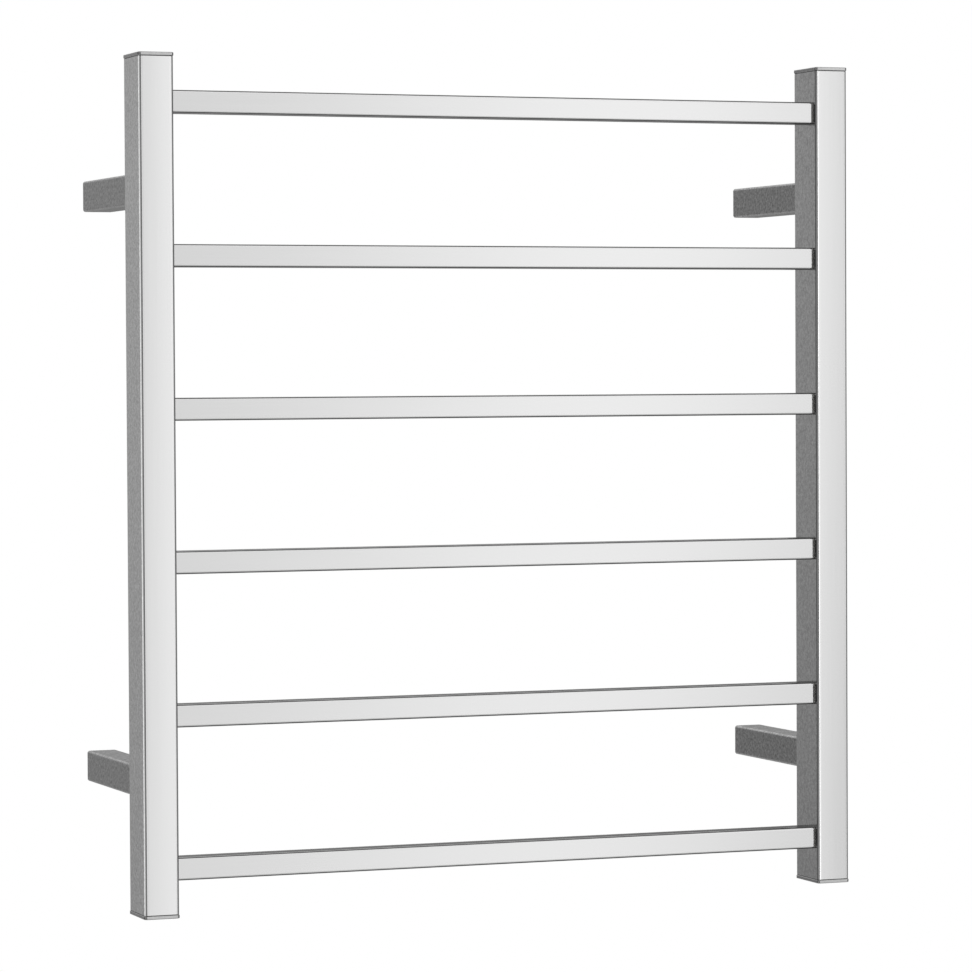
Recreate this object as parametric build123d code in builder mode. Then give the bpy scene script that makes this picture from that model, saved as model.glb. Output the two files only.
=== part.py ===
"""Electric ladder towel warmer: two upright posts of rectangular stainless tube,
six square bars between them, and four square stand-offs that slip over bosses
screwed to the wall.

Frame: origin on the wall plane at the centre of the four wall fixings, +X along
the bars, +Y into the wall, +Z up.  Millimetres.
"""
import os
from math import pi

from build123d import *

# ---------------------------------------------------------------- driving sizes
overall_height = 600.0        # over both end caps
overall_width = 540.0         # over the outer faces of the posts

post_width = 25.0             # X
post_depth = 38.0             # Y
post_wall = 1.5
post_corner = 2.0             # outer corner radius of the tube
post_end_break = 0.4          # chamfer round each end of the tube

cap_thickness = 2.5
cap_overhang = 0.4            # how far the cap plate stands proud of the tube
cap_edge = 0.5                # softened edges of the cap plate
plug_depth = 9.0              # skirt of the cap inside the tube
plug_wall = 1.6
plug_clearance = 0.15         # between the skirt and the tube, each side

bar_count = 6
bar_pitch = 106.6
bar_size = 16.0
bar_wall = 1.2
bar_corner = 1.6
bar_end_chamfer = 0.8         # weld preparation round each end of a bar
bar_setback = 5.0             # fronts of the bars behind the fronts of the posts

standoff_size = 22.0
standoff_wall = 1.2
standoff_corner = 1.8
standoff_length = 112.0       # wall to the back of the post
standoff_spacing = 412.0      # upper pair to lower pair

inner_corner_least = 0.4      # smallest inside corner radius of any tube

boss_clearance = 0.2          # between the boss and the stand-off, each side
boss_length = 22.0
boss_corner = 1.0
boss_nose = 0.8               # lead-in chamfer
wall_screw_hole = 4.5
wall_screw_head = 7.4         # counterbore for the head
wall_screw_web = 6.0          # metal left under the head
cable_hole = 6.0              # supply lead inlet, one corner of each boss
cable_hole_offset = 6.0       # from the boss axis, in X and in Z
key_width = 7.8               # groove along the boss for the screw collar
key_depth = 2.7

grub_diameter = 4.0
grub_length = 4.0
grub_distance = 11.0          # from the wall
grub_socket = 2.0             # hexagon, across flats
grub_socket_depth = 2.0
collar_diameter = 7.0         # flow-drilled collar inside the stand-off
collar_gap = 0.3              # collar to the groove's floor

cable_diameter = 5.0
cable_side_gap = 1.0          # cable to the outer wall of the post
cable_bend_margin = 0.5       # bend ends this far inside the post
cable_pass_hole = 10.0        # in the inner wall of each post, one for each bar
feed_offset = 3.0             # feed run beside the post's centre line
feed_pass_hole = 9.0          # in the back wall of the post at the supply corner
feed_radius = 16.0
cable_end_margin = 22.0       # cable end to the far post

end_seal_diameter = 8.0
end_seal_length = 18.0
end_seal_cover = 12.0         # length of cable inside the seal
end_seal_gap = 0.05           # radial, cable to seal

sleeve_diameter = 8.0
sleeve_length = 26.0
sleeve_to_post = 12.0         # sleeve end to the back of the post
lead_diameter = 1.6
lead_spacing = 5.0
lead_length = 9.0
sleeve_edge = 0.6

terminal_side_gap = 0.3       # block to the side wall of the stand-off
terminal_above_lead = 3.2     # top of the block over the leads' centre line
terminal_length = 22.0
terminal_corner = 1.0
terminal_bore = 3.0
terminal_screw_diameter = 3.0
terminal_screw_length = 2.6
terminal_screw_sunk = 0.5     # screw head below the top of the block
terminal_screw_slot = 0.6
terminal_screw_slot_depth = 0.7
terminal_screw_inset = 5.5    # screw rows from the ends of the block
terminal_well_gap = 0.05      # radial, screw to block

cutout_width = 8.0
cutout_height = 4.2
cutout_length = 16.0
cutout_edge = 0.6
cutout_to_terminal = 6.0
cutout_to_sleeve = 1.6        # joint sleeve to the cut-out above it
cutout_lead_diameter = 1.0
cutout_lead_spacing = 4.0
cutout_lead_bend = 2.4

earth_tab_width = 6.3
earth_tab_thickness = 0.8
earth_tab_length = 9.0
earth_foot_length = 8.0
earth_tab_offset = 4.0        # tab centre to the stand-off axis, towards the bars
earth_to_terminal = 3.0

# --------------------------------------------------------------- derived places
post_x = (overall_width - post_width) / 2
post_back_y = -standoff_length
post_centre_y = post_back_y - post_depth / 2
post_length = overall_height - 2 * cap_thickness
post_inner_width = post_width - 2 * post_wall
post_inner_depth = post_depth - 2 * post_wall

bar_length = overall_width - 2 * post_width
bar_centre_y = post_back_y - post_depth + bar_setback + bar_size / 2
bar_z = [bar_pitch * ((bar_count - 1) / 2 - index) for index in range(bar_count)]

standoff_inner = standoff_size - 2 * standoff_wall
standoff_z = standoff_spacing / 2
boss_size = standoff_inner - 2 * boss_clearance

corners = {
    "upper_left": (-post_x, standoff_z),
    "upper_right": (post_x, standoff_z),
    "lower_left": (-post_x, -standoff_z),
    "lower_right": (post_x, -standoff_z),
}
supply_x, supply_z = corners["lower_right"]
inner_floor_z = supply_z - standoff_inner / 2
inner_roof_z = supply_z + standoff_inner / 2

cable_radius = cable_diameter / 2
cable_offset = post_inner_width / 2 - cable_side_gap - cable_radius
cable_bend = cable_offset + post_inner_width / 2 - cable_bend_margin
feed_bend = feed_offset + post_inner_width / 2 - cable_bend_margin
feed_x = supply_x + feed_offset
feed_z = inner_roof_z - cutout_height - cutout_to_sleeve - sleeve_diameter / 2

os.makedirs("parts", exist_ok=True)


def finish(piece, name):
    piece.part.label = name
    export_step(piece.part, f"parts/{name}.step")
    print(f"{name:26s} {piece.part.volume:12.2f} mm3")


def inner_radius(outer_radius, wall):
    return max(outer_radius - wall, inner_corner_least)


def facing_y(x, y, z, direction):
    return Plane((x, y, z), x_dir=(1, 0, 0), z_dir=(0, direction, 0))


# ------------------------------------------------------------------------ posts
def make_post(name, x, inward, feed_hole):
    with BuildPart() as post:
        with BuildSketch(Plane((x, post_centre_y, -post_length / 2))):
            RectangleRounded(post_width, post_depth, post_corner)
            RectangleRounded(
                post_inner_width,
                post_inner_depth,
                inner_radius(post_corner, post_wall),
                mode=Mode.SUBTRACT,
            )
        extrude(amount=post_length)
        for end_face in (post.faces().sort_by(Axis.Z)[0], post.faces().sort_by(Axis.Z)[-1]):
            chamfer(end_face.outer_wire().edges(), length=post_end_break)
        # one cable hole behind the end of each bar
        with BuildSketch(Plane((x, bar_centre_y, 0), x_dir=(0, 1, 0), z_dir=(inward, 0, 0))):
            with Locations(*[(0, inward * z) for z in bar_z]):
                Circle(cable_pass_hole / 2)
        extrude(amount=post_width / 2 + 1, mode=Mode.SUBTRACT)
        if feed_hole:
            with BuildSketch(facing_y(feed_x, post_centre_y, feed_z, 1)):
                Circle(feed_pass_hole / 2)
            extrude(amount=post_depth / 2 + 1, mode=Mode.SUBTRACT)
    finish(post, name)


make_post("left_post", -post_x, 1, feed_hole=False)
make_post("right_post", post_x, -1, feed_hole=True)


# --------------------------------------------------------------------- end caps
def make_cap(name, x, up):
    plate_plane = Plane((x, post_centre_y, up * post_length / 2), z_dir=(0, 0, up))
    skirt_plane = Plane((x, post_centre_y, up * post_length / 2), z_dir=(0, 0, -up))
    skirt_width = post_inner_width - 2 * plug_clearance
    skirt_depth = post_inner_depth - 2 * plug_clearance
    with BuildPart() as cap:
        with BuildSketch(plate_plane):
            RectangleRounded(
                post_width + 2 * cap_overhang,
                post_depth + 2 * cap_overhang,
                post_corner + cap_overhang,
            )
        extrude(amount=cap_thickness)
        fillet(cap.faces().filter_by(Axis.Z).edges(), radius=cap_edge)
        with BuildSketch(skirt_plane):
            RectangleRounded(skirt_width, skirt_depth, 1.0)
            Rectangle(skirt_width - 2 * plug_wall, skirt_depth - 2 * plug_wall, mode=Mode.SUBTRACT)
        extrude(amount=plug_depth)
    finish(cap, name)


make_cap("left_top_cap", -post_x, 1)
make_cap("left_bottom_cap", -post_x, -1)
make_cap("right_top_cap", post_x, 1)
make_cap("right_bottom_cap", post_x, -1)

# ------------------------------------------------------------------------- bars
for index, z in enumerate(bar_z):
    with BuildPart() as bar:
        with BuildSketch(Plane((-bar_length / 2, bar_centre_y, z), z_dir=(1, 0, 0))):
            RectangleRounded(bar_size, bar_size, bar_corner)
            RectangleRounded(
                bar_size - 2 * bar_wall,
                bar_size - 2 * bar_wall,
                inner_radius(bar_corner, bar_wall),
                mode=Mode.SUBTRACT,
            )
        extrude(amount=bar_length)
        for end_face in (bar.faces().sort_by(Axis.X)[0], bar.faces().sort_by(Axis.X)[-1]):
            chamfer(end_face.outer_wire().edges(), length=bar_end_chamfer)
    finish(bar, f"bar_{index + 1}")

# -------------------------------------------------------------------- stand-offs
# the upper pair is locked from above and the lower pair from below
for corner, (x, z) in corners.items():
    outward = 1 if z > 0 else -1
    wall_plane = Plane((x, -grub_distance, z + outward * standoff_size / 2), z_dir=(0, 0, -outward))
    with BuildPart() as standoff:
        with BuildSketch(facing_y(x, 0, z, -1)):
            RectangleRounded(standoff_size, standoff_size, standoff_corner)
            RectangleRounded(
                standoff_inner,
                standoff_inner,
                inner_radius(standoff_corner, standoff_wall),
                mode=Mode.SUBTRACT,
            )
        extrude(amount=standoff_length)
        # threaded collar for the grub screw, drawn inward from the wall of the tube
        with BuildSketch(wall_plane):
            Circle(collar_diameter / 2)
        extrude(amount=standoff_wall + boss_clearance + key_depth - collar_gap)
        with BuildSketch(wall_plane):
            Circle(grub_diameter / 2)
        extrude(amount=standoff_size / 2, mode=Mode.SUBTRACT)
    finish(standoff, f"standoff_{corner}")

# ------------------------------------------------------------------- wall bosses
for corner, (x, z) in corners.items():
    outward = 1 if z > 0 else -1
    cable_hole_z = z - outward * cable_hole_offset
    with BuildPart() as boss:
        with BuildSketch(facing_y(x, 0, z, -1)):
            RectangleRounded(boss_size, boss_size, boss_corner)
        extrude(amount=boss_length)
        chamfer(boss.faces().sort_by(Axis.Y)[0].edges(), length=boss_nose)
        with Locations(facing_y(x, -boss_length, z, -1)):
            CounterBoreHole(wall_screw_hole / 2, wall_screw_head / 2, boss_length - wall_screw_web)
        with BuildSketch(facing_y(x + cable_hole_offset, 0, cable_hole_z, -1)):
            Circle(cable_hole / 2)
        extrude(amount=boss_length, mode=Mode.SUBTRACT)
        with BuildSketch(facing_y(x, 0, z + outward * boss_size / 2, -1)):
            Rectangle(key_width, 2 * key_depth)
        extrude(amount=boss_length, mode=Mode.SUBTRACT)
    finish(boss, f"wall_boss_{corner}")

# ------------------------------------------------------------------- grub screws
grub_tip = boss_size / 2 - key_depth
with BuildPart() as grub_screws:
    for x, z in corners.values():
        outward = 1 if z > 0 else -1
        tip_plane = Plane((x, -grub_distance, z + outward * grub_tip), z_dir=(0, 0, outward))
        with BuildSketch(tip_plane):
            Circle(grub_diameter / 2)
        extrude(amount=grub_length)
        with BuildSketch(tip_plane.offset(grub_length)):
            RegularPolygon(grub_socket / 2, 6, major_radius=False)
        extrude(amount=-grub_socket_depth, mode=Mode.SUBTRACT)
finish(grub_screws, "grub_screws")

# ----------------------------------------------------------------- heating cable
sleeve_front_y = post_back_y + sleeve_to_post
left_run_x = -post_x - cable_offset
right_run_x = post_x + cable_offset

route = [
    (feed_x, sleeve_front_y, feed_z),
    (feed_x, bar_centre_y, feed_z),
    (feed_x, bar_centre_y, bar_z[-1]),
]
radii = [feed_radius, feed_bend]
side_x = left_run_x
for lower, upper in zip(bar_z[:0:-1], bar_z[-2::-1]):
    route.append((side_x, bar_centre_y, lower))
    route.append((side_x, bar_centre_y, upper))
    radii += [cable_bend, cable_bend]
    side_x = right_run_x if side_x == left_run_x else left_run_x
far_side = 1 if side_x > 0 else -1
cable_end_x = far_side * (bar_length / 2 - cable_end_margin)
route.append((cable_end_x, bar_centre_y, bar_z[0]))

with BuildPart() as heating_cable:
    with BuildLine() as cable_line:
        FilletPolyline(*route, radius=radii)
    with BuildSketch(Plane(cable_line.line @ 0, z_dir=cable_line.line % 0)):
        Circle(cable_radius)
    sweep()
finish(heating_cable, "heating_cable")

cable_length = sum(edge.length for edge in cable_line.line.edges())
cable_section = pi * cable_radius**2
print("cable bend radii", radii)
print(
    f"cable length {cable_length:.1f} mm, volume over section times length "
    f"{heating_cable.part.volume / (cable_section * cable_length):.5f}"
)

# ---------------------------------------------------------------------- end seal
seal_plane = Plane(
    (cable_end_x - far_side * end_seal_cover, bar_centre_y, bar_z[0]), z_dir=(far_side, 0, 0)
)
with BuildPart() as cable_end_seal:
    with BuildSketch(seal_plane):
        Circle(end_seal_diameter / 2)
    extrude(amount=end_seal_length)
    with BuildSketch(seal_plane):
        Circle(cable_radius + end_seal_gap)
    extrude(amount=end_seal_cover, mode=Mode.SUBTRACT)
    fillet(
        cable_end_seal.faces().sort_by(Axis.X)[-1 if far_side > 0 else 0].edges(),
        radius=end_seal_diameter / 4,
    )
finish(cable_end_seal, "cable_end_seal")

# -------------------------------------------------- joint sleeve and cold leads
sleeve_back_y = sleeve_front_y + sleeve_length
with BuildPart() as joint_sleeve:
    with BuildSketch(facing_y(feed_x, sleeve_front_y, feed_z, 1)):
        Circle(sleeve_diameter / 2)
    extrude(amount=sleeve_length)
    chamfer(joint_sleeve.edges().filter_by(GeomType.CIRCLE), length=sleeve_edge)
finish(joint_sleeve, "joint_sleeve")

with BuildPart() as cold_leads:
    with BuildSketch(facing_y(feed_x, sleeve_back_y, feed_z, 1)):
        with Locations((-lead_spacing / 2, 0), (lead_spacing / 2, 0)):
            Circle(lead_diameter / 2)
    extrude(amount=lead_length)
finish(cold_leads, "cold_leads")

# ---------------------------------------------------------------- terminal block
terminal_front_y = sleeve_back_y + lead_length
terminal_back_y = terminal_front_y + terminal_length
terminal_centre_y = (terminal_front_y + terminal_back_y) / 2
terminal_top_z = feed_z + terminal_above_lead
terminal_width = standoff_inner - 2 * feed_offset - 2 * terminal_side_gap
terminal_height = terminal_top_z - inner_floor_z
terminal_centre_z = inner_floor_z + terminal_height / 2
screw_row_gap = terminal_length - 2 * terminal_screw_inset
terminal_top = Plane((feed_x, terminal_centre_y, terminal_top_z))

with BuildPart() as terminal_block:
    with BuildSketch(facing_y(feed_x, terminal_front_y, terminal_centre_z, 1)):
        RectangleRounded(terminal_width, terminal_height, terminal_corner)
    extrude(amount=terminal_length)
    with BuildSketch(facing_y(feed_x, terminal_front_y, feed_z, 1)):
        with GridLocations(lead_spacing, 0, 2, 1):
            Circle(terminal_bore / 2)
    extrude(amount=terminal_length, mode=Mode.SUBTRACT)
    with BuildSketch(terminal_top):
        with GridLocations(lead_spacing, screw_row_gap, 2, 2):
            Circle(terminal_screw_diameter / 2 + terminal_well_gap)
    extrude(amount=-terminal_above_lead, mode=Mode.SUBTRACT)
finish(terminal_block, "terminal_block")

screw_top = terminal_top.offset(-terminal_screw_sunk)
with BuildPart() as terminal_screws:
    with BuildSketch(screw_top):
        with GridLocations(lead_spacing, screw_row_gap, 2, 2):
            Circle(terminal_screw_diameter / 2)
    extrude(amount=-terminal_screw_length)
    with BuildSketch(screw_top):
        with GridLocations(lead_spacing, screw_row_gap, 2, 2):
            Rectangle(terminal_screw_diameter, terminal_screw_slot)
    extrude(amount=-terminal_screw_slot_depth, mode=Mode.SUBTRACT)
finish(terminal_screws, "terminal_screws")

# --------------------------------------------------------------- thermal cut-out
cutout_back_y = terminal_front_y - cutout_to_terminal
cutout_centre_z = inner_roof_z - cutout_height / 2
with BuildPart() as thermal_cutout:
    with BuildSketch(facing_y(feed_x, cutout_back_y, cutout_centre_z, -1)):
        RectangleRounded(cutout_width, cutout_height, cutout_edge)
    extrude(amount=cutout_length)
finish(thermal_cutout, "thermal_cutout")

with BuildPart() as cutout_leads:
    for side in (-1, 1):
        lead_x = feed_x + side * cutout_lead_spacing / 2
        with BuildLine() as lead_line:
            FilletPolyline(
                (lead_x, cutout_back_y, cutout_centre_z),
                (lead_x, terminal_centre_y, cutout_centre_z),
                (lead_x, terminal_centre_y, terminal_top_z),
                radius=cutout_lead_bend,
            )
        with BuildSketch(Plane(lead_line.line @ 0, z_dir=lead_line.line % 0)):
            Circle(cutout_lead_diameter / 2)
        sweep(path=lead_line.line)
finish(cutout_leads, "cutout_leads")

# --------------------------------------------------------------------- earth tab
earth_x = supply_x - earth_tab_offset
earth_y = terminal_back_y + earth_to_terminal
with BuildPart() as earth_tab:
    with BuildSketch(Plane((earth_x, 0, 0), x_dir=(0, 1, 0), z_dir=(1, 0, 0))):
        with BuildLine():
            FilletPolyline(
                (earth_y, inner_roof_z - earth_tab_thickness - earth_tab_length),
                (earth_y, inner_roof_z - earth_tab_thickness / 2),
                (earth_y + earth_foot_length, inner_roof_z - earth_tab_thickness / 2),
                radius=earth_tab_thickness,
            )
        trace(line_width=earth_tab_thickness)
    extrude(amount=earth_tab_width / 2, both=True)
finish(earth_tab, "earth_tab")
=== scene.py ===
"""Looks for a wall-hung ladder towel warmer of stainless steel tube.

The CAD frame gives every tube, cap, boss and screw. This file gives each of them its
finish, adds the weld beads where tubes meet, and sets the studio round them.
Run as a script; each operator can also be run from the panel in the 3D view.
"""

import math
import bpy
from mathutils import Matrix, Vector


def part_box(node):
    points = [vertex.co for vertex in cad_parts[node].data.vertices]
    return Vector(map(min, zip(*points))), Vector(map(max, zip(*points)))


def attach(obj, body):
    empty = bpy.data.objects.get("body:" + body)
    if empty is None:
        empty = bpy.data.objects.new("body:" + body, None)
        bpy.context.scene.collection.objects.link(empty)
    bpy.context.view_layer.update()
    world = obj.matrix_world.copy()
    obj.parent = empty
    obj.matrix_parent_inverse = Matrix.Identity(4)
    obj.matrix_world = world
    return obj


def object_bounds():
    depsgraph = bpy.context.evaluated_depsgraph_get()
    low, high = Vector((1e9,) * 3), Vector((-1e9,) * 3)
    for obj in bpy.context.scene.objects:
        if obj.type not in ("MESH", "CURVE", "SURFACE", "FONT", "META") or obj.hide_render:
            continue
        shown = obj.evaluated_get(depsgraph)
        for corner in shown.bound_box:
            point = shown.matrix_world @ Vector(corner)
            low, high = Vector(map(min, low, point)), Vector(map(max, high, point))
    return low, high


bl_info = {
    "name": "Ladder Towel Warmer",
    "version": (1, 0, 0),
    "blender": (4, 5, 0),
    "location": "View3D > Sidebar > Towel Warmer",
    "description": "Finishes, weld beads and studio for a ladder towel warmer",
    "category": "Object",
}

import bmesh
import bpy
from bpy.props import FloatProperty, FloatVectorProperty, PointerProperty
from mathutils import Matrix, Vector

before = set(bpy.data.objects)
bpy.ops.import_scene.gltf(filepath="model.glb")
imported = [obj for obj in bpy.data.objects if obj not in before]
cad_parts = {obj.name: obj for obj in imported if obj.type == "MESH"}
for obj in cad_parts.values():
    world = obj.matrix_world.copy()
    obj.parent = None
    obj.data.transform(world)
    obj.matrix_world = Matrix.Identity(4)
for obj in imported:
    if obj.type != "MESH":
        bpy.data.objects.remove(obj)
cad_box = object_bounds()

MM = 0.001


def linear_colour(hex_code):
    """Linear RGB of an sRGB colour written as six hex digits."""
    channels = [int(hex_code[i : i + 2], 16) / 255 for i in (0, 2, 4)]
    return [c / 12.92 if c <= 0.04045 else ((c + 0.055) / 1.055) ** 2.4 for c in channels]


# -------------------------------------------------------------- sizes from the frame
post_low, post_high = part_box("right_post")
post_centre_x = (post_low[0] + post_high[0]) / 2
post_centre_y = (post_low[1] + post_high[1]) / 2
post_width = post_high[0] - post_low[0]
bar_names = [f"bar_{number}" for number in range(1, 7)]
cap_names = ["left_top_cap", "left_bottom_cap", "right_top_cap", "right_bottom_cap"]
corner_names = ["upper_left", "upper_right", "lower_left", "lower_right"]
standoff_names = [f"standoff_{corner}" for corner in corner_names]
boss_names = [f"wall_boss_{corner}" for corner in corner_names]

# ---------------------------------------------------------------------- light levels
# The dome goes by direction, from straight behind the rack (-1) to straight ahead (1).
DOME = (
    (-1.0, 0.75),
    (-0.85, 0.95),
    (-0.6, 0.7),
    (-0.4, 0.2),
    (-0.2, 0.1),
    (0.3, 0.1),
    (0.48, 0.3),
    (0.64, 1.3),
    (0.86, 1.3),
    (0.94, 1.1),
    (1.0, 1.0),
)
# The belt round eye height goes by bearing in degrees from straight ahead, and left is
# positive. Each bearing has a level above eye height and one below it.
BELT = (
    (-180, 0.45, 0.4),
    (-172, 0.42, 0.38),
    (-164, 0.2, 0.18),
    (-154, 0.15, 0.13),
    (-140, 0.3, 0.25),
    (-60, 0.28, 0.25),
    (-50, 0.08, 0.07),
    (-45, 1.2, 1.0),
    (-38, 1.45, 1.25),
    (-33, 1.1, 0.92),
    (-29, 0.88, 0.74),
    (-26.2, 0.95, 0.8),
    (-25.5, 1.08, 0.87),
    (-24.8, 1.28, 1.0),
    (-23.8, 1.4, 1.18),
    (-22.8, 1.36, 1.31),
    (-21.5, 1.24, 1.27),
    (-20.2, 1.14, 1.18),
    (-18.9, 1.06, 1.09),
    (-16.9, 0.88, 0.94),
    (-13, 0.92, 0.97),
    (11, 1.0, 1.0),
    (16, 0.02, 0.02),
    (33, 0.02, 0.02),
    (41, 0.33, 0.33),
    (80, 0.33, 0.33),
    (94, 0.12, 0.12),
    (118, 0.1, 0.1),
    (150, 0.15, 0.1),
    (155, 0.37, 0.29),
    (164, 0.41, 0.34),
    (180, 0.45, 0.4),
)
# Heights are the upright part of a direction's unit vector.
BELT_EDGE = (0.17, 0.3)  # where the belt gives way to the dome, above and below
BELT_DROP = (0.02, -0.12)  # where the upper levels of the belt give way to the lower ones
SIDE_LIGHT = 0.5  # what the dome gains straight to either side
SIDE_REACH = (0.5, 0.95)  # sideways part of a direction where that gain starts and is full
UNDER_LIGHT, OVER_LIGHT = 0.5, 0.85  # shares of the dome seen below and above
OVER_REACH = (-0.3, 0.3)  # heights between those two shares
SECOND_MEETING = 0.35  # share of the room that light sees once it has met the steel twice
# Strip lamps that draw a line down a post's left front edge: the post, the bearing of the
# lamp from that edge, its distance and width in metres, and its power in watts.
STRIPS = (
    ("left_post", 118, 0.15, 0.19, 0.5),
    ("right_post", 5, 0.5, 0.17, 0.8),
)
STRIP_HEIGHT = 0.9


# ------------------------------------------------------------------------ properties
class TubeFinish(bpy.types.PropertyGroup):
    steel: FloatVectorProperty(
        name="Steel",
        description="Colour of the polished and brushed steel",
        subtype="COLOR",
        size=3,
        min=0,
        max=1,
        default=linear_colour("DADADA"),
    )
    polish: FloatProperty(
        name="Polished Roughness",
        description="Roughness of the polished faces",
        subtype="FACTOR",
        min=0.02,
        max=1,
        default=0.12,
    )
    satin: FloatProperty(
        name="Satin Roughness",
        description="Roughness of the satin faces of the stand-offs and caps",
        subtype="FACTOR",
        min=0.02,
        max=1,
        default=0.3,
    )
    flank: FloatProperty(
        name="Flank Roughness",
        description="Roughness of the posts' side faces",
        subtype="FACTOR",
        min=0.02,
        max=1,
        default=0.14,
    )
    mottle_size: FloatProperty(
        name="Mottle Size",
        description="Size of the fine mottle on satin steel",
        unit="LENGTH",
        min=0.0001,
        default=2.2 * MM,
    )
    grain_width: FloatProperty(
        name="Grain Width",
        description="Spacing of the brushing lines across a tube",
        unit="LENGTH",
        min=0.0001,
        default=0.9 * MM,
    )
    grain_length: FloatProperty(
        name="Grain Length",
        description="Length of the brushing lines along a tube",
        unit="LENGTH",
        min=0.001,
        default=120 * MM,
    )
    left_lean: FloatProperty(
        name="Left Lean",
        description="Angle by which the left post's front is turned towards the bars",
        subtype="ANGLE",
        default=math.radians(1.5),
    )
    left_crown: FloatProperty(
        name="Left Crown",
        description="Angle of the left post's front at its edges, because drawn tube bows out",
        subtype="ANGLE",
        default=math.radians(0.9),
    )
    right_crown: FloatProperty(
        name="Right Crown",
        description="Angle of the right post's front at its edges",
        subtype="ANGLE",
        default=math.radians(0.45),
    )
    edge_roll: FloatProperty(
        name="Edge Roll",
        description="Extra turn of a post's front where it meets the side",
        subtype="ANGLE",
        default=math.radians(4.8),
    )
    edge_roll_width: FloatProperty(
        name="Edge Roll Width",
        description="Width of the front beside each corner that rolls off, corner included",
        unit="LENGTH",
        default=3.2 * MM,
    )


class SeamSizes(bpy.types.PropertyGroup):
    bead: FloatProperty(
        name="Bead",
        description="Width of the weld bead round a tube's end",
        unit="LENGTH",
        min=0.0001,
        default=0.7 * MM,
    )
    bar_corner: FloatProperty(
        name="Bar Corner",
        description="Outer corner radius of a bar",
        unit="LENGTH",
        default=1.6 * MM,
    )
    bar_sink: FloatProperty(
        name="Bar Sink",
        description="How far a bar's bead lies inside the bar's outline and end",
        unit="LENGTH",
        default=0.38 * MM,
    )
    standoff_corner: FloatProperty(
        name="Stand-off Corner",
        description="Outer corner radius of a stand-off",
        unit="LENGTH",
        default=1.8 * MM,
    )
    standoff_proud: FloatProperty(
        name="Stand-off Proud",
        description="How far the middle of a stand-off's bead lies outside the tube",
        unit="LENGTH",
        default=0.1 * MM,
    )


class StudioSettings(bpy.types.PropertyGroup):
    floor_drop: FloatProperty(
        name="Floor Drop",
        description="Height of the rack's lower end above the floor",
        unit="LENGTH",
        min=0.05,
        default=0.6,
    )
    floor_radius: FloatProperty(
        name="Floor Radius",
        description="Radius of the round floor",
        unit="LENGTH",
        min=0.5,
        default=2.8,
    )
    floor_colour: FloatVectorProperty(
        name="Floor",
        description="Colour of the pale floor",
        subtype="COLOR",
        size=3,
        min=0,
        max=1,
        default=linear_colour("EFEEEC"),
    )
    camera_place: FloatVectorProperty(
        name="Camera Place",
        description="Where the camera stands",
        subtype="XYZ",
        size=3,
        unit="LENGTH",
        default=(-1.08425, -2.92591, 0.08077),
    )
    camera_yaw: FloatProperty(
        name="Yaw",
        description="Camera's turn to the right of straight ahead",
        subtype="ANGLE",
        default=0.3675,
    )
    camera_pitch: FloatProperty(
        name="Pitch",
        description="Camera's tilt upwards",
        subtype="ANGLE",
        default=-0.0282,
    )
    camera_roll: FloatProperty(
        name="Roll",
        description="Camera's lean",
        subtype="ANGLE",
        default=-0.00526,
    )
    lens: FloatProperty(
        name="Lens",
        description="Focal length on a 36 mm wide sensor, in millimetres",
        min=10,
        max=500,
        default=154.79,
    )


# ------------------------------------------------------------------------- materials
NOISE_LOW, NOISE_HIGH = 0.3, 0.7  # most of a noise texture's values lie between these
FLANK_START, FLANK_FULL = 0.8, 0.98  # sideways part of a normal where a flank begins, and is full
STREAK_TINT = 0.975  # tint of the darkest polishing line
GRAIN_ROUGHNESS = 0.04  # roughness that the polishing lines add at most
GRAIN_DEPTH = 0.0008 * MM  # polishing lines are under a micron deep
SPECK_ROUGHNESS = 0.05  # how far a specked surface's roughness strays either way


def add_node(tree, kind, sockets=(), **settings):
    """Adds a node with its settings; each socket gets a link or a plain value."""
    made = tree.nodes.new(kind)
    for name, value in settings.items():
        setattr(made, name, value)
    for socket, value in dict(sockets).items():
        if isinstance(value, bpy.types.NodeSocket):
            tree.links.new(value, made.inputs[socket])
        else:
            made.inputs[socket].default_value = value
    return made


def empty_material(name):
    material = bpy.data.materials.get(name) or bpy.data.materials.new(name)
    material.use_nodes = True
    material.node_tree.nodes.clear()
    return material, material.node_tree


def wear(names, material):
    """Puts one material on every slot of the named CAD nodes."""
    for name in names:
        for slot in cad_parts[name].material_slots:
            slot.material = material


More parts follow.
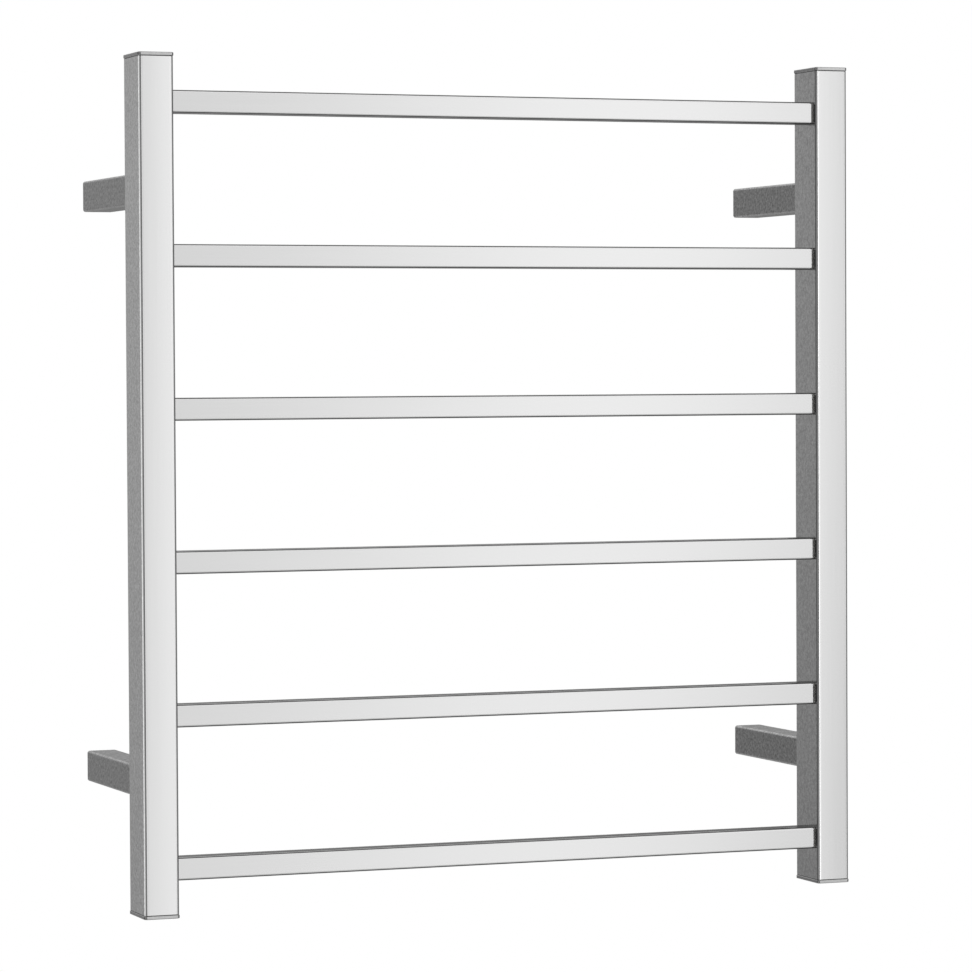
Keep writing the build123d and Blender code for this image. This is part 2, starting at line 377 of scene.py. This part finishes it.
def brushed_steel(name, grain_axis, finish, tone=1.0, satin=0.0, mottling=0.25, bow=None):
    """Stainless tube: belt-polished faces with faint lines along the tube, satin flanks.

    The polish gives soft reflections that change along a tube, the lines keep them from
    looking like chrome, and the satin flanks look plain grey with a fine mottle.
    """
    material, tree = empty_material(name)
    place = add_node(tree, "ShaderNodeTexCoord")
    stretch = [1 / finish.grain_width] * 3
    stretch["XYZ".index(grain_axis)] = 1 / finish.grain_length
    grain_place = add_node(
        tree, "ShaderNodeMapping", {"Vector": place.outputs["Object"], "Scale": stretch}
    )
    grain = add_node(
        tree,
        "ShaderNodeTexNoise",
        {"Vector": grain_place.outputs[0], "Scale": 1.0, "Detail": 3.0, "Roughness": 0.6},
    )
    mottle = add_node(
        tree,
        "ShaderNodeTexNoise",
        {
            "Vector": place.outputs["Object"],
            "Scale": 1 / finish.mottle_size,
            "Detail": 3.0,
            "Roughness": 0.7,
        },
    )
    # how satin a face is: the flanks of an upright tube, or the whole of another
    facing = add_node(tree, "ShaderNodeSeparateXYZ", {0: place.outputs["Normal"]})
    sideways = add_node(tree, "ShaderNodeMath", {0: facing.outputs["X"]}, operation="ABSOLUTE")
    flank = add_node(
        tree,
        "ShaderNodeMapRange",
        {
            "Value": sideways.outputs[0],
            "From Min": FLANK_START,
            "From Max": FLANK_FULL,
            "To Min": satin,
            "To Max": 1.0,
        },
    )
    flank_amount = flank.outputs[0]
    streak_tint = add_node(
        tree,
        "ShaderNodeMapRange",
        {
            "Value": grain.outputs["Fac"],
            "From Min": NOISE_LOW,
            "From Max": NOISE_HIGH,
            "To Min": STREAK_TINT,
            "To Max": 1.0,
        },
    )
    mottle_tint = add_node(
        tree,
        "ShaderNodeMapRange",
        {
            "Value": mottle.outputs["Fac"],
            "From Min": NOISE_LOW,
            "From Max": NOISE_HIGH,
            "To Min": 1 - mottling,
            "To Max": 1 + mottling,
        },
    )
    tint = add_node(
        tree,
        "ShaderNodeMix",
        {"Factor": flank_amount, "A": streak_tint.outputs[0], "B": mottle_tint.outputs[0]},
    )
    colour = add_node(
        tree,
        "ShaderNodeVectorMath",
        {0: [channel * tone for channel in finish.steel], 1: tint.outputs[0]},
        operation="MULTIPLY",
    )
    polish = add_node(
        tree,
        "ShaderNodeMix",
        {"Factor": flank_amount, "A": finish.polish, "B": finish.satin if satin else finish.flank},
    )
    roughness = add_node(
        tree,
        "ShaderNodeMath",
        {0: grain.outputs["Fac"], 1: GRAIN_ROUGHNESS, 2: polish.outputs[0]},
        operation="MULTIPLY_ADD",
    )
    fine_height = add_node(
        tree, "ShaderNodeMath", {0: grain.outputs["Fac"], 1: GRAIN_DEPTH}, operation="MULTIPLY"
    )
    height = fine_height.outputs[0]
    if bow:
        # a drawn tube's front leans and bows by a degree or so across its width, and rolls
        # off towards its corners
        centre_x, lean, crown = bow
        axes = add_node(tree, "ShaderNodeSeparateXYZ", {0: place.outputs["Object"]})
        offset = add_node(
            tree, "ShaderNodeMath", {0: axes.outputs["X"], 1: centre_x}, operation="SUBTRACT"
        )
        slope = add_node(
            tree,
            "ShaderNodeMath",
            {0: offset.outputs[0], 1: -math.tan(crown) / post_width, 2: -math.tan(lean)},
            operation="MULTIPLY_ADD",
        )
        bowed = add_node(
            tree,
            "ShaderNodeMath",
            {0: offset.outputs[0], 1: slope.outputs[0], 2: height},
            operation="MULTIPLY_ADD",
        )
        reach = add_node(tree, "ShaderNodeMath", {0: offset.outputs[0]}, operation="ABSOLUTE")
        beyond = add_node(
            tree,
            "ShaderNodeMath",
            {0: reach.outputs[0], 1: post_width / 2 - finish.edge_roll_width},
            operation="SUBTRACT",
        )
        rolling = add_node(
            tree, "ShaderNodeMath", {0: beyond.outputs[0], 1: 0.0}, operation="MAXIMUM"
        )
        fall = add_node(
            tree,
            "ShaderNodeMath",
            {0: rolling.outputs[0], 1: -math.tan(finish.edge_roll) / (2 * finish.edge_roll_width)},
            operation="MULTIPLY",
        )
        height = add_node(
            tree,
            "ShaderNodeMath",
            {0: rolling.outputs[0], 1: fall.outputs[0], 2: bowed.outputs[0]},
            operation="MULTIPLY_ADD",
        ).outputs[0]
    relief = add_node(tree, "ShaderNodeBump", {"Height": height, "Strength": 1.0, "Distance": 1.0})
    surface = add_node(
        tree,
        "ShaderNodeBsdfPrincipled",
        {
            "Base Color": colour.outputs[0],
            "Metallic": 1.0,
            "Roughness": roughness.outputs[0],
            "Normal": relief.outputs[0],
        },
    )
    add_node(tree, "ShaderNodeOutputMaterial", {"Surface": surface.outputs[0]})
    return material


def speckled_surface(name, hex_code, speck, roughness, metallic=0.0, depth=0.0, spread=0.12):
    """A moulded, cast or blasted surface with fine specks of the given size in metres."""
    material, tree = empty_material(name)
    place = add_node(tree, "ShaderNodeTexCoord")
    specks = add_node(
        tree,
        "ShaderNodeTexNoise",
        {"Vector": place.outputs["Object"], "Scale": 1 / speck, "Detail": 2.0, "Roughness": 0.5},
    )
    shade = add_node(
        tree,
        "ShaderNodeMapRange",
        {
            "Value": specks.outputs["Fac"],
            "From Min": NOISE_LOW,
            "From Max": NOISE_HIGH,
            "To Min": 1 - spread,
            "To Max": 1.0,
        },
    )
    colour = add_node(
        tree,
        "ShaderNodeVectorMath",
        {0: linear_colour(hex_code), 1: shade.outputs[0]},
        operation="MULTIPLY",
    )
    rough = add_node(
        tree,
        "ShaderNodeMapRange",
        {
            "Value": specks.outputs["Fac"],
            "From Min": NOISE_LOW,
            "From Max": NOISE_HIGH,
            "To Min": roughness - SPECK_ROUGHNESS,
            "To Max": roughness + SPECK_ROUGHNESS,
        },
    )
    relief = add_node(
        tree, "ShaderNodeBump", {"Height": specks.outputs["Fac"], "Strength": 1.0, "Distance": depth}
    )
    surface = add_node(
        tree,
        "ShaderNodeBsdfPrincipled",
        {
            "Base Color": colour.outputs[0],
            "Metallic": metallic,
            "Roughness": rough.outputs[0],
            "Normal": relief.outputs[0],
        },
    )
    add_node(tree, "ShaderNodeOutputMaterial", {"Surface": surface.outputs[0]})
    return material


# ------------------------------------------------------------------------ weld beads
BEAD_SIDES = 10
TURN_STEPS = 5  # faces along each rounded corner


def add_bead(shape, centre, outward, forward, half, corner, radius):
    """Adds a round bead along a rounded square: four straight runs and four turns.

    The square is centred on a point and faces along the cross product of outward and
    forward. Half is half its side.
    """
    axis = outward.cross(forward)
    start = centre + outward * half - forward * (half - corner)
    place = Matrix.Translation(start) @ Matrix((outward, axis, forward)).transposed().to_4x4()
    ring = bmesh.ops.create_circle(shape, segments=BEAD_SIDES, radius=radius, matrix=place)["verts"]
    edges = list({edge for vert in ring for edge in vert.link_edges})
    for _ in range(4):
        made = bmesh.ops.extrude_edge_only(shape, edges=edges)["geom"]
        verts = [item for item in made if isinstance(item, bmesh.types.BMVert)]
        edges = [
            item
            for item in made
            if isinstance(item, bmesh.types.BMEdge) and all(vert in verts for vert in item.verts)
        ]
        bmesh.ops.translate(shape, vec=forward * 2 * (half - corner), verts=verts)
        turned = bmesh.ops.spin(
            shape,
            geom=verts + edges,
            cent=centre + (outward + forward) * (half - corner),
            axis=axis,
            angle=math.radians(90),
            steps=TURN_STEPS,
        )["geom_last"]
        edges = [item for item in turned if isinstance(item, bmesh.types.BMEdge)]
        outward, forward = forward, -outward
    bmesh.ops.remove_doubles(shape, verts=shape.verts, dist=radius / 100)


# ------------------------------------------------------------------------- operators
class TOWELWARMER_OT_posts(bpy.types.Operator):
    """Gives the two posts brushed steel with upright grain"""

    bl_idname = "towelwarmer.posts"
    bl_label = "Finish Posts"

    def execute(self, context):
        finish = context.scene.towelwarmer_tube
        for side, x, lean, crown in (
            ("left", -post_centre_x, finish.left_lean, finish.left_crown),
            ("right", post_centre_x, 0, finish.right_crown),
        ):
            steel = brushed_steel(f"polished_steel_{side}_post", "Z", finish, bow=(x, lean, crown))
            wear([f"{side}_post"], steel)
        return {"FINISHED"}


class TOWELWARMER_OT_bars(bpy.types.Operator):
    """Gives the six bars brushed steel with level grain"""

    bl_idname = "towelwarmer.bars"
    bl_label = "Finish Bars"

    def execute(self, context):
        finish = context.scene.towelwarmer_tube
        wear(bar_names, brushed_steel("polished_steel_level", "X", finish))
        return {"FINISHED"}


class TOWELWARMER_OT_standoffs(bpy.types.Operator):
    """Gives the four stand-offs satin steel with a fine mottle, its colour darkened to 0.69 of the tube's
    as painted shade
    """

    bl_idname = "towelwarmer.standoffs"
    bl_label = "Finish Stand-offs"

    def execute(self, context):
        finish = context.scene.towelwarmer_tube
        # tone 0.69 darkens the stand-offs' steel: painted shade standing in for the shade they sit in
        # behind the posts
        steel = brushed_steel(
            "satin_steel_standoff_painted_shade", "Y", finish, tone=0.69, satin=1.0, mottling=0.5
        )
        wear(standoff_names, steel)
        return {"FINISHED"}


class TOWELWARMER_OT_caps(bpy.types.Operator):
    """Gives the four end caps satin steel"""

    bl_idname = "towelwarmer.caps"
    bl_label = "Finish Caps"

    def execute(self, context):
        finish = context.scene.towelwarmer_tube
        wear(cap_names, brushed_steel("satin_steel_cap", "X", finish, tone=0.74, satin=0.3))
        return {"FINISHED"}


class TOWELWARMER_OT_seams(bpy.types.Operator):
    """Lays the weld beads where the bars and stand-offs meet the posts"""

    bl_idname = "towelwarmer.seams"
    bl_label = "Make Weld Seams"

    def execute(self, context):
        seam = context.scene.towelwarmer_seam
        x_axis, y_axis, z_axis = Vector((1, 0, 0)), Vector((0, 1, 0)), Vector((0, 0, 1))
        bar_shape, standoff_shape = bmesh.new(), bmesh.new()
        for name in bar_names:
            low, high = (Vector(corner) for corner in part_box(name))
            middle, half = (low + high) / 2, (high.z - low.z) / 2 - seam.bar_sink
            for end_x in (low.x + seam.bar_sink, high.x - seam.bar_sink):
                add_bead(
                    bar_shape,
                    Vector((end_x, middle.y, middle.z)),
                    y_axis,
                    z_axis,
                    half,
                    seam.bar_corner - seam.bar_sink,
                    seam.bead / 2,
                )
        for name in standoff_names:
            low, high = (Vector(corner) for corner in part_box(name))
            middle, half = (low + high) / 2, (high.z - low.z) / 2 + seam.standoff_proud
            add_bead(
                standoff_shape,
                Vector((middle.x, low.y + seam.bead / 2, middle.z)),
                x_axis,
                z_axis,
                half,
                seam.standoff_corner + seam.standoff_proud,
                seam.bead / 2,
            )
        # arc-welded stainless, wire-brushed: a little darker and rougher than the tube,
        # with fine ripples
        weld = speckled_surface(
            "steel_weld_bead", "B5B4B1", speck=0.7 * MM, roughness=0.3, metallic=1.0, depth=0.04 * MM
        )
        for name, shape in (("bar_seams", bar_shape), ("standoff_seams", standoff_shape)):
            bmesh.ops.recalc_face_normals(shape, faces=shape.faces)
            for face in shape.faces:
                face.smooth = True
            mesh = bpy.data.meshes.new(name)
            shape.to_mesh(mesh)
            shape.free()
            mesh.materials.append(weld)
            beads = bpy.data.objects.new(name, mesh)
            context.scene.collection.objects.link(beads)
            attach(beads, "ladder")
        return {"FINISHED"}


class TOWELWARMER_OT_fixings(bpy.types.Operator):
    """Gives the wall bosses and the grub screws their metals"""

    bl_idname = "towelwarmer.fixings"
    bl_label = "Finish Bosses and Screws"

    def execute(self, context):
        # die-cast zinc, bead-blasted: an even, matt, blue-grey skin
        zinc = speckled_surface(
            "die_cast_zinc", "A7A9AC", speck=0.6 * MM, roughness=0.48, metallic=1.0, depth=0.02 * MM
        )
        # black-oxide steel: nearly black, with an oily sheen
        oxide = speckled_surface(
            "black_oxide_steel",
            "3A3A3C",
            speck=0.4 * MM,
            roughness=0.35,
            metallic=1.0,
            depth=0.005 * MM,
        )
        wear(boss_names, zinc)
        wear(["grub_screws"], oxide)
        return {"FINISHED"}


class TOWELWARMER_OT_heater(bpy.types.Operator):
    """Gives the cable, seals, terminals and cut-out inside the tubes their materials"""

    bl_idname = "towelwarmer.heater"
    bl_label = "Finish Heater"

    def execute(self, context):
        # extruded silicone rubber, brick red: dull, with a faint powdery bloom
        silicone = speckled_surface(
            "extruded_silicone_rubber", "9A3B2C", speck=1.2 * MM, roughness=0.55, depth=0.02 * MM
        )
        # heat-shrunk polyolefin, black: smooth with a slight sheen
        shrink = speckled_surface(
            "heat_shrink_polyolefin", "1B1B1C", speck=1.5 * MM, roughness=0.42, depth=0.01 * MM
        )
        # moulded polyamide, natural: warm off-white, slightly waxy
        nylon = speckled_surface(
            "moulded_polyamide", "E4E0D3", speck=1.0 * MM, roughness=0.4, depth=0.01 * MM
        )
        # turned brass: yellow, fine-grained
        brass = speckled_surface(
            "turned_brass", "C9A45C", speck=0.5 * MM, roughness=0.28, metallic=1.0, depth=0.004 * MM
        )
        # moulded phenolic, black: hard, with a dull gloss
        phenolic = speckled_surface(
            "moulded_phenolic", "232021", speck=0.8 * MM, roughness=0.33, depth=0.008 * MM
        )
        wear(["heating_cable", "cold_leads", "cutout_leads"], silicone)
        wear(["cable_end_seal", "joint_sleeve"], shrink)
        wear(["terminal_block"], nylon)
        wear(["terminal_screws", "earth_tab"], brass)
        wear(["thermal_cutout"], phenolic)
        return {"FINISHED"}


FLOOR_FADE_START = 0.2  # metres from the middle where the floor starts to thin out


class TOWELWARMER_OT_stage(bpy.types.Operator):
    """Sets the pale floor, the soft studio light and the camera"""

    bl_idname = "towelwarmer.stage"
    bl_label = "Set Stage"

    def execute(self, context):
        studio = context.scene.towelwarmer_studio
        self.make_floor(context, studio)
        self.make_light(context)
        self.make_camera(context, studio)
        context.scene.view_settings.view_transform = "Standard"
        return {"FINISHED"}

    def make_floor(self, context, studio):
        level = cad_box[0][2] - studio.floor_drop
        shape = bmesh.new()
        bmesh.ops.create_circle(shape, cap_ends=True, segments=96, radius=studio.floor_radius)
        bmesh.ops.translate(shape, vec=(0, post_centre_y, level), verts=shape.verts)
        mesh = bpy.data.meshes.new("floor")
        shape.to_mesh(mesh)
        shape.free()
        floor = bpy.data.objects.new("floor", mesh)
        context.scene.collection.objects.link(floor)
        floor.visible_glossy = False
        material, tree = empty_material("matt_paper_floor")
        place = add_node(tree, "ShaderNodeTexCoord")
        spot = add_node(
            tree,
            "ShaderNodeVectorMath",
            {0: place.outputs["Object"], 1: (0, post_centre_y, level)},
            operation="DISTANCE",
        )
        fade = add_node(
            tree,
            "ShaderNodeMapRange",
            {
                "Value": spot.outputs["Value"],
                "From Min": FLOOR_FADE_START,
                "From Max": studio.floor_radius,
            },
            interpolation_type="SMOOTHSTEP",
        )
        paper = add_node(
            tree,
            "ShaderNodeBsdfPrincipled",
            {"Base Color": (*studio.floor_colour, 1), "Roughness": 0.9, "Specular IOR Level": 0.1},
        )
        clear = add_node(tree, "ShaderNodeBsdfTransparent")
        mixed = add_node(
            tree, "ShaderNodeMixShader", {0: fade.outputs[0], 1: paper.outputs[0], 2: clear.outputs[0]}
        )
        add_node(tree, "ShaderNodeOutputMaterial", {"Surface": mixed.outputs[0]})
        mesh.materials.append(material)

    def make_light(self, context):
        world = bpy.data.worlds.new("studio")
        context.scene.world = world
        world.use_nodes = True
        tree = world.node_tree
        tree.nodes.clear()
        sight = add_node(tree, "ShaderNodeTexCoord")
        axes = add_node(tree, "ShaderNodeSeparateXYZ", {0: sight.outputs["Generated"]})
        ahead = add_node(tree, "ShaderNodeMath", {0: axes.outputs["Y"], 1: -1.0}, operation="MULTIPLY")
        left = add_node(tree, "ShaderNodeMath", {0: axes.outputs["X"], 1: -1.0}, operation="MULTIPLY")
        bearing = add_node(
            tree, "ShaderNodeMath", {0: left.outputs[0], 1: ahead.outputs[0]}, operation="ARCTAN2"
        )
        degrees = add_node(tree, "ShaderNodeMath", {0: bearing.outputs[0]}, operation="DEGREES")
        ramps = {}
        for name, source, stops in (
            ("dome", ahead, DOME),
            ("upper", degrees, [(turn, above) for turn, above, _ in BELT]),
            ("lower", degrees, [(turn, below) for turn, _, below in BELT]),
        ):
            low, high = stops[0][0], stops[-1][0]
            place = add_node(
                tree, "ShaderNodeMapRange", {"Value": source.outputs[0], "From Min": low, "From Max": high}
            )
            ramp = add_node(tree, "ShaderNodeValToRGB", {0: place.outputs[0]})
            points = ramp.color_ramp.elements
            points[0].color = (*[stops[0][1]] * 3, 1)
            points[-1].color = (*[stops[-1][1]] * 3, 1)
            for position, level in stops[1:-1]:
                points.new((position - low) / (high - low)).color = (level, level, level, 1)
            ramps[name] = ramp.outputs[0]
        # lighter to either side and overhead than underneath
        sideways = add_node(tree, "ShaderNodeMath", {0: axes.outputs["X"]}, operation="ABSOLUTE")
        flanks = add_node(
            tree,
            "ShaderNodeMapRange",
            {
                "Value": sideways.outputs[0],
                "From Min": SIDE_REACH[0],
                "From Max": SIDE_REACH[1],
                "To Max": SIDE_LIGHT,
            },
        )
        overhead = add_node(
            tree,
            "ShaderNodeMapRange",
            {
                "Value": axes.outputs["Z"],
                "From Min": OVER_REACH[0],
                "From Max": OVER_REACH[1],
                "To Min": UNDER_LIGHT,
                "To Max": OVER_LIGHT,
            },
        )
        dome = add_node(
            tree,
            "ShaderNodeMath",
            {0: ramps["dome"], 1: overhead.outputs[0], 2: flanks.outputs[0]},
            operation="MULTIPLY_ADD",
        )
        drop = add_node(
            tree,
            "ShaderNodeMapRange",
            {"Value": axes.outputs["Z"], "From Min": BELT_DROP[0], "From Max": BELT_DROP[1]},
        )
        belt = add_node(
            tree,
            "ShaderNodeMix",
            {"Factor": drop.outputs[0], "A": ramps["upper"], "B": ramps["lower"]},
        )
        height = add_node(tree, "ShaderNodeMath", {0: axes.outputs["Z"]}, operation="ABSOLUTE")
        out_of_belt = add_node(
            tree,
            "ShaderNodeMapRange",
            {"Value": height.outputs[0], "From Min": BELT_EDGE[0], "From Max": BELT_EDGE[1]},
            interpolation_type="SMOOTHSTEP",
        )
        level = add_node(
            tree,
            "ShaderNodeMix",
            {"Factor": out_of_belt.outputs[0], "A": belt.outputs[0], "B": dome.outputs[0]},
        )
        # the room looks darker to light that has met the steel twice, so joints stay crisp;
        # the ray depth is 2 after one meeting and 3 after two
        eye = add_node(tree, "ShaderNodeLightPath")
        meetings = add_node(
            tree,
            "ShaderNodeMapRange",
            {
                "Value": eye.outputs["Ray Depth"],
                "From Min": 2.0,
                "From Max": 3.0,
                "To Min": 1.0,
                "To Max": SECOND_MEETING,
            },
        )
        strength = add_node(
            tree, "ShaderNodeMath", {0: level.outputs[0], 1: meetings.outputs[0]}, operation="MULTIPLY"
        )
        lit = add_node(
            tree, "ShaderNodeBackground", {"Color": (1, 1, 1, 1), "Strength": strength.outputs[0]}
        )
        backdrop = add_node(tree, "ShaderNodeBackground", {"Color": (1, 1, 1, 1), "Strength": 1.0})
        both = add_node(
            tree,
            "ShaderNodeMixShader",
            {0: eye.outputs["Is Camera Ray"], 1: lit.outputs[0], 2: backdrop.outputs[0]},
        )
        add_node(tree, "ShaderNodeOutputWorld", {"Surface": both.outputs[0]})
        # each strip lights its own post and nothing else
        for post, bearing_degrees, distance, width, power in STRIPS:
            data = bpy.data.lights.new(f"{post}_strip", "AREA")
            data.shape = "RECTANGLE"
            data.size, data.size_y = width, STRIP_HEIGHT
            data.energy = power
            strip = bpy.data.objects.new(f"{post}_strip", data)
            context.scene.collection.objects.link(strip)
            angle = math.radians(bearing_degrees)
            outward = Vector((-math.sin(angle), -math.cos(angle), 0))
            low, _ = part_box(post)
            aim = Vector((low[0], low[1], 0))
            strip.matrix_world = Matrix.Translation(aim + outward * distance) @ (
                outward.to_track_quat("Z", "Y").to_matrix().to_4x4()
            )
            strip.visible_camera = False
            subject = bpy.data.collections.new(f"{post}_strip_subject")
            subject.objects.link(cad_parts[post])
            strip.light_linking.receiver_collection = subject

    def make_camera(self, context, studio):
        data = bpy.data.cameras.new("camera")
        data.sensor_width = 36
        data.lens = studio.lens
        data.clip_start, data.clip_end = 0.05, 50
        camera = bpy.data.objects.new("camera", data)
        context.scene.collection.objects.link(camera)
        yaw, pitch, roll = studio.camera_yaw, studio.camera_pitch, studio.camera_roll
        ahead = Vector(
            (math.sin(yaw) * math.cos(pitch), math.cos(yaw) * math.cos(pitch), math.sin(pitch))
        )
        level_right = Vector((math.cos(yaw), -math.sin(yaw), 0))
        level_up = level_right.cross(ahead)
        right = level_right * math.cos(roll) + level_up * math.sin(roll)
        up = level_up * math.cos(roll) - level_right * math.sin(roll)
        turn = Matrix((right, up, -ahead)).transposed().to_4x4()
        camera.matrix_world = Matrix.Translation(Vector(studio.camera_place)) @ turn
        context.scene.camera = camera


class TOWELWARMER_PT_panel(bpy.types.Panel):
    """Lists the sizes and finishes, and a button for each operator"""

    bl_label = "Towel Warmer"
    bl_idname = "TOWELWARMER_PT_panel"
    bl_space_type = "VIEW_3D"
    bl_region_type = "UI"
    bl_category = "Towel Warmer"

    def draw(self, context):
        for group in (
            context.scene.towelwarmer_tube,
            context.scene.towelwarmer_seam,
            context.scene.towelwarmer_studio,
        ):
            for name in group.bl_rna.properties.keys():
                if name not in {"rna_type", "name"}:
                    self.layout.prop(group, name)
        for operator in OPERATORS:
            self.layout.operator(operator.bl_idname)


GROUPS = (TubeFinish, SeamSizes, StudioSettings)
OPERATORS = (
    TOWELWARMER_OT_posts,
    TOWELWARMER_OT_bars,
    TOWELWARMER_OT_standoffs,
    TOWELWARMER_OT_caps,
    TOWELWARMER_OT_seams,
    TOWELWARMER_OT_fixings,
    TOWELWARMER_OT_heater,
    TOWELWARMER_OT_stage,
)


def register():
    for item in (*GROUPS, *OPERATORS, TOWELWARMER_PT_panel):
        bpy.utils.register_class(item)
    bpy.types.Scene.towelwarmer_tube = PointerProperty(type=TubeFinish)
    bpy.types.Scene.towelwarmer_seam = PointerProperty(type=SeamSizes)
    bpy.types.Scene.towelwarmer_studio = PointerProperty(type=StudioSettings)


def unregister():
    del bpy.types.Scene.towelwarmer_studio
    del bpy.types.Scene.towelwarmer_seam
    del bpy.types.Scene.towelwarmer_tube
    for item in reversed((*GROUPS, *OPERATORS, TOWELWARMER_PT_panel)):
        bpy.utils.unregister_class(item)


def main():
    register()
    bpy.ops.towelwarmer.posts()
    bpy.ops.towelwarmer.bars()
    bpy.ops.towelwarmer.standoffs()
    bpy.ops.towelwarmer.caps()
    bpy.ops.towelwarmer.seams()
    bpy.ops.towelwarmer.fixings()
    bpy.ops.towelwarmer.heater()
    bpy.ops.towelwarmer.stage()
    bpy.context.view_layer.update()


if __name__ == "__main__":
    main()
